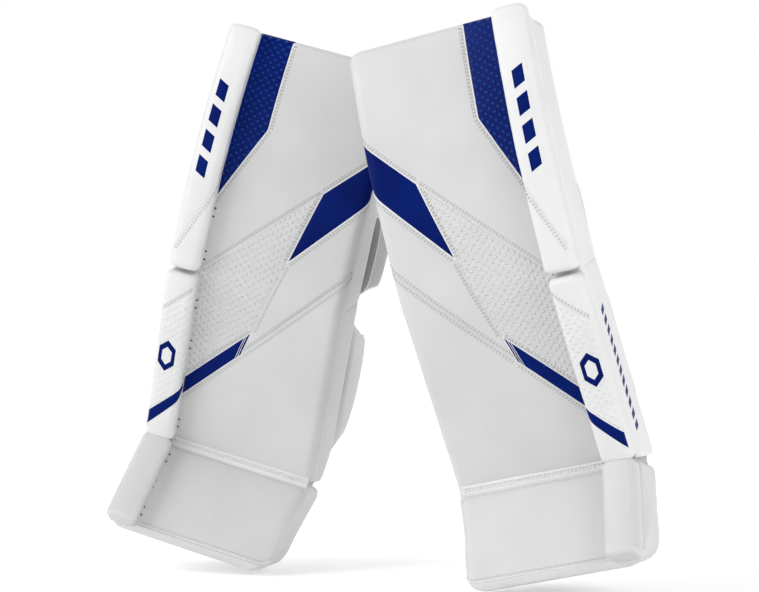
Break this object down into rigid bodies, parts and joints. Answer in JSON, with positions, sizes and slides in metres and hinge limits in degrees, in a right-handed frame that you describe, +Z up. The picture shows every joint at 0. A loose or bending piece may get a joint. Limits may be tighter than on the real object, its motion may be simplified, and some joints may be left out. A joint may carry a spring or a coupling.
{
  "type": "goalie leg pads",
  "caption": "Pair of white ice hockey goalie leg pads with blue panels: foam legs with outer rolls, flexing knee and ankle breaks, knee cradle, wrap-around calf wings and rear straps.",
  "frame": {"origin": "middle of the pair's footprint, on the floor that both boots rest on", "axes": "+Z up; the faces of the pads look towards -Y; +X is the wearer's left, where the front pad's foot stands, and the pair is longest along X"},
  "size_m": [0.8672, 0.475, 0.8356],
  "materials": {
    "white_leather": "smooth white synthetic leather with a fine grain, satin; navy blue panels of the same material are set into the face",
    "blue_leather": "navy blue synthetic leather, satin, partly embossed with small dots",
    "foam": "closed-cell foam, hidden inside the covers",
    "liner_fabric": "grey brushed knit liner over soft foam",
    "knee_fabric": "grey stretch fabric with a wavy relief, black binding at its foot",
    "webbing": "white woven strap with hook-and-loop ends",
    "black_webbing": "black woven strap",
    "black_plastic": "moulded black plastic, fine matte grain",
    "lace": "black waxed lace"
  },
  "bodies": {
    "left_shin": {"left_shin_core": "foam", "left_shin_cover": "white_leather", "left_shin_roll": "white_leather", "left_shin_roll_lace": "lace", "left_shin_liner": "liner_fabric", "left_inner_calf_wing": "white_leather"},
    "left_calf_wing": {"left_outer_calf_wing": "white_leather"},
    "left_upper_calf_strap": {"left_upper_calf_strap": "webbing", "left_upper_calf_strap_buckle": "black_plastic"},
    "left_lower_calf_strap": {"left_lower_calf_strap": "webbing", "left_lower_calf_strap_buckle": "black_plastic"},
    "left_thigh": {"left_thigh_core": "foam", "left_thigh_cover": "white_leather", "left_thigh_roll": "white_leather", "left_thigh_roll_lace": "lace", "left_thigh_rear_panel": "liner_fabric", "left_knee_block": "knee_fabric", "left_knee_cushion": "liner_fabric"},
    "left_knee_wing": {"left_knee_wing": "white_leather"},
    "left_knee_strap": {"left_knee_strap": "webbing", "left_knee_strap_buckle": "black_plastic"},
    "left_boot": {"left_boot_core": "foam", "left_boot_cover": "white_leather", "left_boot_roll": "white_leather", "left_boot_liner": "liner_fabric", "left_toe_bridge": "black_plastic", "left_inner_boot_tab": "white_leather", "left_outer_boot_tab": "white_leather"},
    "left_boot_strap": {"left_boot_strap": "black_webbing", "left_boot_strap_buckle": "black_plastic"},
    "right_shin": {"right_shin_core": "foam", "right_shin_cover": "white_leather", "right_shin_roll": "white_leather", "right_shin_roll_lace": "lace", "right_shin_liner": "liner_fabric", "right_inner_calf_wing": "white_leather"},
    "right_calf_wing": {"right_outer_calf_wing": "white_leather"},
    "right_upper_calf_strap": {"right_upper_calf_strap": "webbing", "right_upper_calf_strap_buckle": "black_plastic"},
    "right_lower_calf_strap": {"right_lower_calf_strap": "webbing", "right_lower_calf_strap_buckle": "black_plastic"},
    "right_thigh": {"right_thigh_core": "foam", "right_thigh_cover": "white_leather", "right_thigh_roll": "white_leather", "right_thigh_roll_lace": "lace", "right_thigh_rear_panel": "liner_fabric", "right_knee_block": "knee_fabric", "right_knee_cushion": "liner_fabric"},
    "right_knee_wing": {"right_knee_wing": "white_leather"},
    "right_knee_strap": {"right_knee_strap": "webbing", "right_knee_strap_buckle": "black_plastic"},
    "right_boot": {"right_boot_core": "foam", "right_boot_cover": "white_leather", "right_boot_roll": "white_leather", "right_boot_liner": "liner_fabric", "right_toe_bridge": "black_plastic", "right_inner_boot_tab": "white_leather", "right_outer_boot_tab": "white_leather"},
    "right_boot_strap": {"right_boot_strap": "black_webbing", "right_boot_strap_buckle": "black_plastic"}
  },
  "joints": [
    {"name": "left_knee_break", "type": "hinge", "parent": "left_shin", "child": "left_thigh", "pos_m": [0.19618, -0.17418, 0.4356], "axis": [-0.9639, 0.1682, -0.2062], "range_deg": [-5, 8], "stiffness_Nm_per_rad": 60},
    {"name": "left_ankle_flex", "type": "hinge", "parent": "left_shin", "child": "left_boot", "pos_m": [0.26762, -0.09356, 0.16742], "axis": [0.9639, -0.1682, 0.2062], "range_deg": [-7, 9], "stiffness_Nm_per_rad": 60},
    {"name": "left_calf_wing_open", "type": "hinge", "parent": "left_shin", "child": "left_calf_wing", "pos_m": [0.40789, -0.04256, 0.22012], "axis": [0.2472, 0.279, -0.9279], "range_deg": [0, 60], "stiffness_Nm_per_rad": 1.5, "springref_deg": -5.73},
    {"name": "left_upper_calf_strap_open", "type": "hinge", "parent": "left_calf_wing", "child": "left_upper_calf_strap", "pos_m": [0.33967, 0.00844, 0.40048], "axis": [0.2472, 0.279, -0.9279], "range_deg": [0, 80]},
    {"name": "left_lower_calf_strap_open", "type": "hinge", "parent": "left_calf_wing", "child": "left_lower_calf_strap", "pos_m": [0.35401, 0.02462, 0.34666], "axis": [0.2472, 0.279, -0.9279], "range_deg": [0, 80]},
    {"name": "left_knee_wing_open", "type": "hinge", "parent": "left_thigh", "child": "left_knee_wing", "pos_m": [0.3397, -0.12051, 0.47529], "axis": [0.2263, 0.1105, -0.9678], "range_deg": [0, 50], "stiffness_Nm_per_rad": 1.5, "springref_deg": -5.73},
    {"name": "left_knee_strap_open", "type": "hinge", "parent": "left_knee_wing", "child": "left_knee_strap", "pos_m": [0.30354, -0.04237, 0.55842], "axis": [0.2263, 0.1105, -0.9678], "range_deg": [0, 80]},
    {"name": "left_boot_strap_open", "type": "hinge", "parent": "left_boot", "child": "left_boot_strap", "pos_m": [0.4093, 0.01004, 0.12066], "axis": [0.2031, -0.0355, -0.9785], "range_deg": [0, 80]},
    {"name": "right_knee_break", "type": "hinge", "parent": "right_shin", "child": "right_thigh", "pos_m": [-0.18603, -0.00436, 0.43701], "axis": [-0.9593, 0.0688, 0.274], "range_deg": [-5, 8], "stiffness_Nm_per_rad": 60},
    {"name": "right_ankle_flex", "type": "hinge", "parent": "right_shin", "child": "right_boot", "pos_m": [-0.25437, 0.09247, 0.17343], "axis": [0.9593, -0.0688, -0.274], "range_deg": [-7, 9], "stiffness_Nm_per_rad": 60},
    {"name": "right_calf_wing_open", "type": "hinge", "parent": "right_shin", "child": "right_calf_wing", "pos_m": [-0.37416, 0.1756, 0.23502], "axis": [0.2365, -0.3351, 0.912], "range_deg": [0, 60], "stiffness_Nm_per_rad": 1.5, "springref_deg": -5.73},
    {"name": "right_upper_calf_strap_open", "type": "hinge", "parent": "right_calf_wing", "child": "right_upper_calf_strap", "pos_m": [-0.28326, 0.2077, 0.40964], "axis": [0.2365, -0.3351, 0.912], "range_deg": [0, 80]},
    {"name": "right_lower_calf_strap_open", "type": "hinge", "parent": "right_calf_wing", "child": "right_lower_calf_strap", "pos_m": [-0.29697, 0.22713, 0.35675], "axis": [0.2365, -0.3351, 0.912], "range_deg": [0, 80]},
    {"name": "right_knee_wing_open", "type": "hinge", "parent": "right_thigh", "child": "right_knee_wing", "pos_m": [-0.30922, 0.0822, 0.48582], "axis": [0.2597, -0.1668, 0.9512], "range_deg": [0, 50], "stiffness_Nm_per_rad": 1.5, "springref_deg": -5.73},
    {"name": "right_knee_strap_open", "type": "hinge", "parent": "right_knee_wing", "child": "right_knee_strap", "pos_m": [-0.24957, 0.14887, 0.56533], "axis": [0.2597, -0.1668, 0.9512], "range_deg": [0, 80]},
    {"name": "right_boot_strap_open", "type": "hinge", "parent": "right_boot", "child": "right_boot_strap", "pos_m": [-0.36973, 0.22748, 0.13528], "axis": [0.2733, -0.0196, 0.9617], "range_deg": [0, 80]},
    {"name": "pads_apart", "type": "slide", "parent": "left_shin", "child": "right_shin", "axis": [-1, 0, 0], "range_m": [0, 0.3]}
  ]
}
